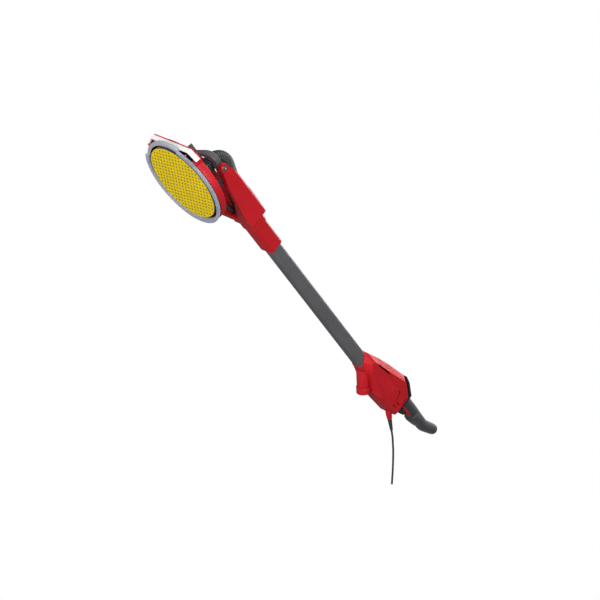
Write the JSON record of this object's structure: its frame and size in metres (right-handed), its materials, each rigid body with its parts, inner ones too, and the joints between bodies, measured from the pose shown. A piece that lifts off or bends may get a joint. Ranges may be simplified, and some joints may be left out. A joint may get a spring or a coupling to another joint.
{
  "type": "pole drywall sander",
  "caption": "Long-neck drywall sander: a rotary disc head in a gimbal and fork on a pole, with a motor, dust outlet, cord and rear grip at the other end.",
  "frame": {"origin": "centre of the working face, where the abrasive disc meets the wall", "axes": "+Z along the pole towards the head, -Y the side the disc faces (the face leans 10.7 degrees from -Y towards +Z at rest), +X across the fork"},
  "size_m": [0.26, 0.2434, 1.5288],
  "materials": {
    "red_moulding": "satin moulded",
    "white_moulding": "satin moulded",
    "grey_moulding": "satin moulded",
    "black_plastic": "fine texture",
    "black_rubber": "matte",
    "grip_rubber": "soft touch",
    "cast_grey": "satin",
    "cast_metal": "as cast",
    "tube_carbon": "clear-coated dark weave",
    "steel": "ground",
    "brass": "machined",
    "copper_winding": "enamelled wire",
    "foam": "cellular",
    "hook_fabric": "hook pile",
    "abrasive": "grit on perforated backing",
    "bristle": "nylon filament",
    "nylon": "natural",
    "board": "potted board",
    "carbon": "pressed carbon"
  },
  "bodies": {
    "pole": {"fork_left": "red_moulding", "fork_right": "red_moulding", "fork_screws": "steel", "pivot_screws": "steel", "neck_sleeve": "red_moulding", "main_tube": "tube_carbon", "drive_casing": "cast_metal", "shaft_bushes": "nylon", "housing_left": "red_moulding", "housing_right": "red_moulding", "rear_frame": "black_plastic", "gear_case": "cast_metal", "stator": "copper_winding", "motor_bearings": "steel", "brush_holders": "brass", "carbon_brushes": "carbon", "speed_electronics": "board", "dust_duct": "red_moulding", "switch_body": "black_plastic", "switch_pin": "steel", "housing_screws": "steel", "grip_core": "black_plastic", "grip_sleeve": "grip_rubber", "cord_boot": "red_moulding", "strain_relief": "black_rubber", "power_cord": "black_rubber"},
    "gimbal": {"gimbal_frame": "cast_grey", "gimbal_bushes": "nylon", "head_pivot_pins": "black_plastic", "dust_hose": "black_rubber", "flex_drive": "black_rubber"},
    "head": {"head_cover": "red_moulding", "head_bracket": "cast_grey", "gearbox_housing": "cast_metal", "gearbox_lid": "cast_metal", "head_bearings": "steel", "hose_boot": "black_rubber", "cover_screws": "steel", "ring_springs": "steel"},
    "pad": {"spindle": "steel", "crown_gear": "brass", "pad_plate": "cast_grey", "backing_pad": "foam", "hook_layer": "hook_fabric", "abrasive_disc": "abrasive", "pad_screw": "steel"},
    "pinion": {"head_pinion": "brass"},
    "brush": {"brush_ring": "grey_moulding", "brush_bristles": "bristle"},
    "segment": {"front_segment": "white_moulding", "segment_lip": "grey_moulding"},
    "drive": {"drive_shaft": "steel", "drive_gear": "steel"},
    "rotor": {"rotor_shaft": "steel", "armature": "copper_winding", "commutator": "copper_winding", "cooling_fan": "black_plastic"},
    "outlet": {"dust_collar": "red_moulding"},
    "dial": {"speed_dial": "black_plastic"},
    "switch": {"switch_rocker": "black_plastic"}
  },
  "joints": [
    {"name": "gimbal_pitch", "type": "hinge", "parent": "pole", "child": "gimbal", "pos_m": [0, 0.08942, -0.0169], "axis": [1, 0, 0], "range_deg": [-60, 6], "deforming": ["dust_hose", "flex_drive"]},
    {"name": "head_roll", "type": "hinge", "parent": "gimbal", "child": "head", "pos_m": [0, 0.0678, -0.01281], "axis": [0, 0.1857, 0.9826], "range_deg": [-15, 15]},
    {"name": "pad_spin", "type": "hinge", "parent": "head", "child": "pad", "pos_m": [0, 0.01081, -0.00204], "axis": [0, -0.9826, 0.1857], "continuous": true},
    {"name": "pinion_spin", "type": "hinge", "parent": "head", "child": "pinion", "pos_m": [0, 0.03275, -0.03672], "axis": [0, 0.1857, 0.9826], "continuous": true},
    {"name": "drive_spin", "type": "hinge", "parent": "pole", "child": "drive", "pos_m": [0, 0.08542, -0.6169], "axis": [0, 0, 1], "continuous": true},
    {"name": "rotor_spin", "type": "hinge", "parent": "pole", "child": "rotor", "pos_m": [0, 0.10442, -1.0829], "axis": [0, 0, 1], "continuous": true},
    {"name": "brush_float", "type": "slide", "parent": "head", "child": "brush", "axis": [0, -0.9826, 0.1857], "range_m": [-0.0035, 0], "stiffness_N_per_m": 600, "springref_m": 0.001, "deforming": ["ring_springs"]},
    {"name": "segment_release", "type": "slide", "parent": "head", "child": "segment", "axis": [0, 0.1857, 0.9826], "range_m": [0, 0.03]},
    {"name": "outlet_swivel", "type": "hinge", "parent": "pole", "child": "outlet", "pos_m": [0, 0.0434, -1.02838], "axis": [0, -0.5446, -0.8387], "continuous": true},
    {"name": "speed_setting", "type": "hinge", "parent": "pole", "child": "dial", "pos_m": [-0.042, 0.10142, -1.1009], "axis": [-1, 0, 0], "range_deg": [0, 270]},
    {"name": "switch_travel", "type": "hinge", "parent": "pole", "child": "switch", "pos_m": [0, 0.09842, -1.2239], "axis": [1, 0, 0], "range_deg": [0, 12]}
  ],
  "couplings": [
    {"joint": "pinion_spin", "follows": "pad_spin", "ratio": 3},
    {"joint": "drive_spin", "follows": "pad_spin", "ratio": 3},
    {"joint": "rotor_spin", "follows": "pad_spin", "ratio": -12}
  ]
}
